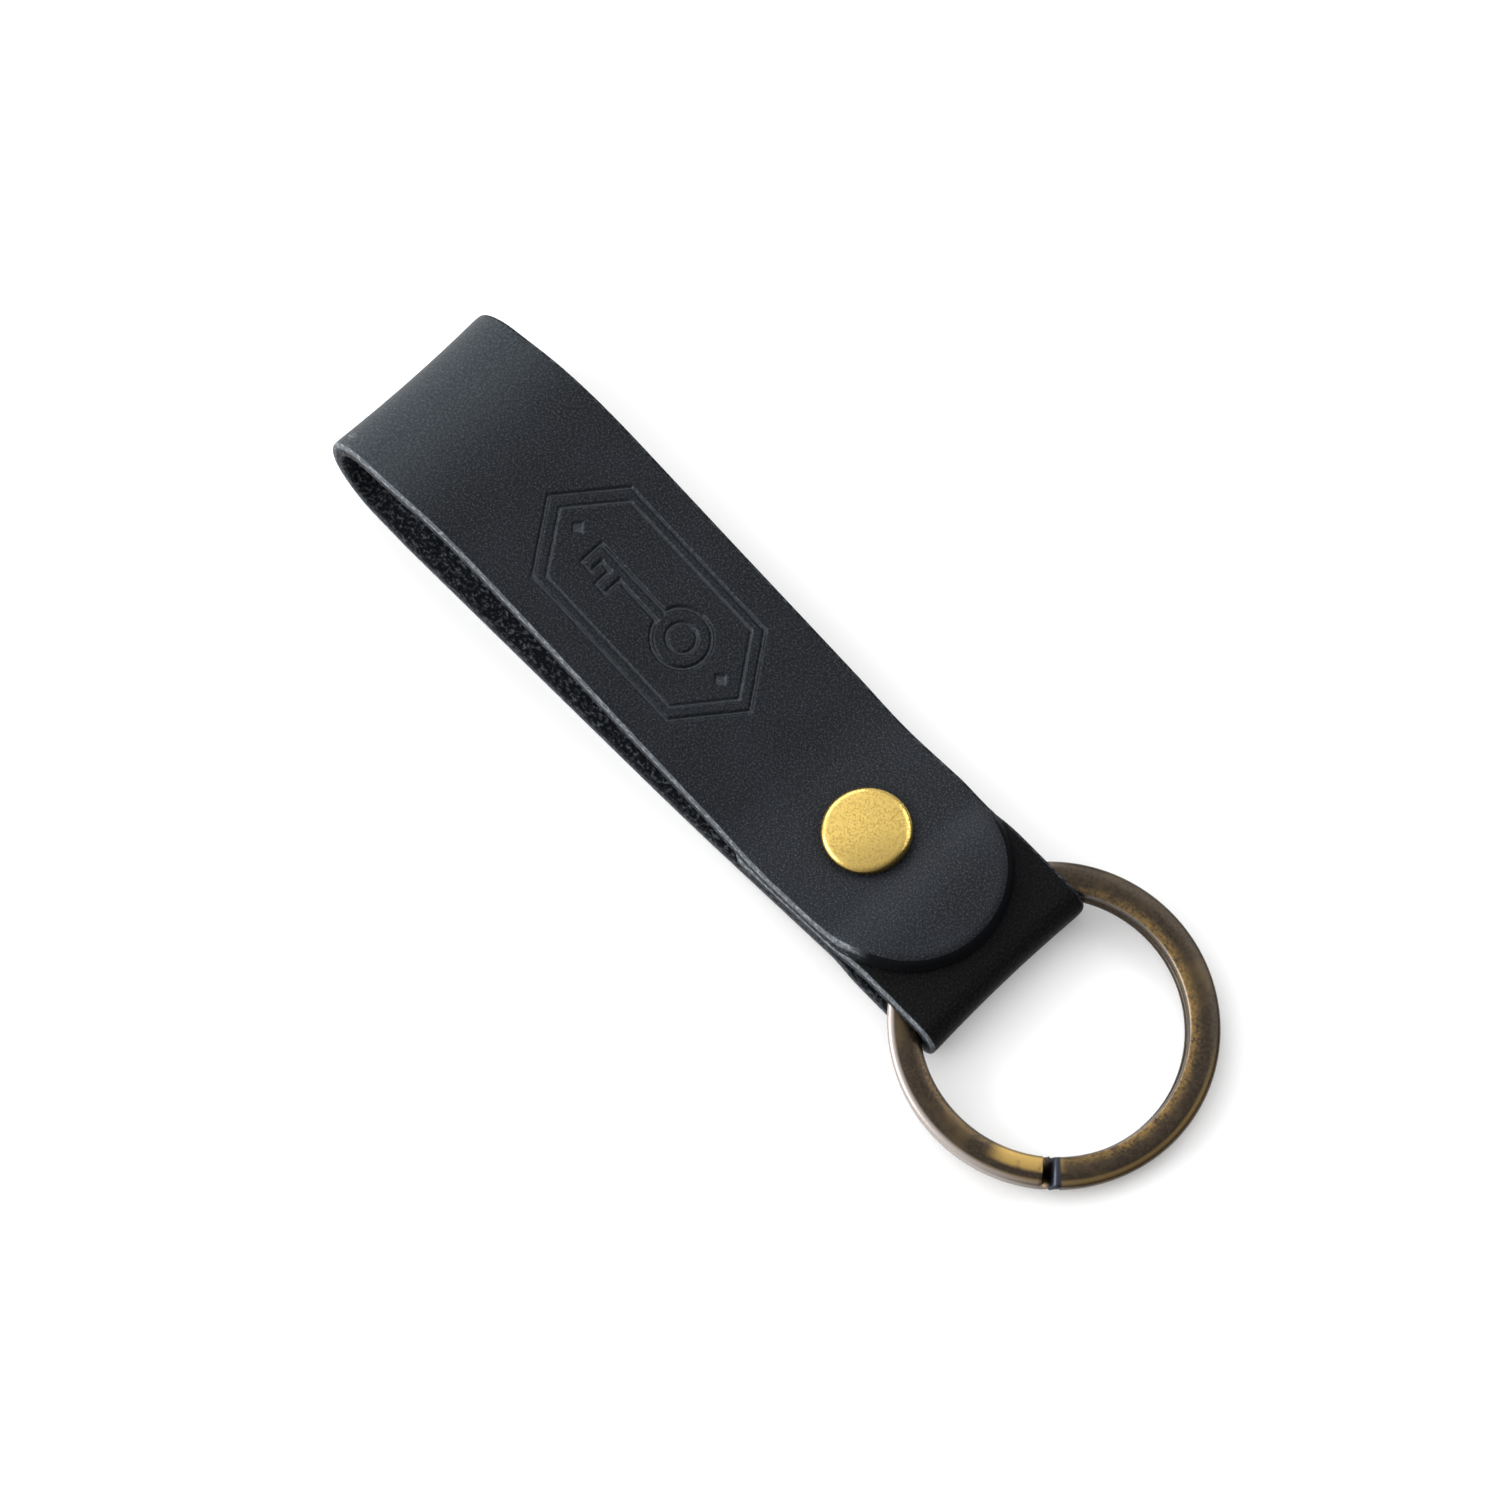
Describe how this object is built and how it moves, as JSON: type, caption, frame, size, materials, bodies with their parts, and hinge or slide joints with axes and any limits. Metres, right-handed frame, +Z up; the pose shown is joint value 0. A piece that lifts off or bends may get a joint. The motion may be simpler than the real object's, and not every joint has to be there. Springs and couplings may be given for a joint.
{
  "type": "wristlet keychain",
  "caption": "Folded leather strap loop with a double-cap rivet and a flat-wire split ring held in the strap's bight.",
  "frame": {"origin": "middle of the underside of the whole object's bounding box, on the surface that it lies on", "axes": "+X along the strap from the far fold to the split ring, +Y across the strap, +Z up out of the surface"},
  "size_m": [0.1064, 0.032, 0.0144],
  "materials": {
    "strap_leather": "matte, fine-grained, with raw cut edges",
    "aged_brass": "satin, aged",
    "bronze_ring": "antique bronze plating, worn at the edges"
  },
  "bodies": {
    "strap": {"strap_loop": "strap_leather", "rivet_front_cap": "aged_brass", "rivet_socket": "aged_brass", "rivet_post": "aged_brass", "rivet_back_cap": "aged_brass"},
    "ring_end": {"strap_bight": "strap_leather"},
    "ring": {"split_ring": "bronze_ring"}
  },
  "joints": [
    {"name": "bight_flex", "type": "hinge", "parent": "strap", "child": "ring_end", "pos_m": [0.01867, 0, 0.0048], "axis": [0, -1, 0], "range_deg": [-25, 25], "stiffness_Nm_per_rad": 0.03},
    {"name": "ring_spin", "type": "hinge", "parent": "ring_end", "child": "ring", "pos_m": [0.03717, 0, 0.00264], "axis": [0.0819, 0, 0.9966], "continuous": true}
  ]
}
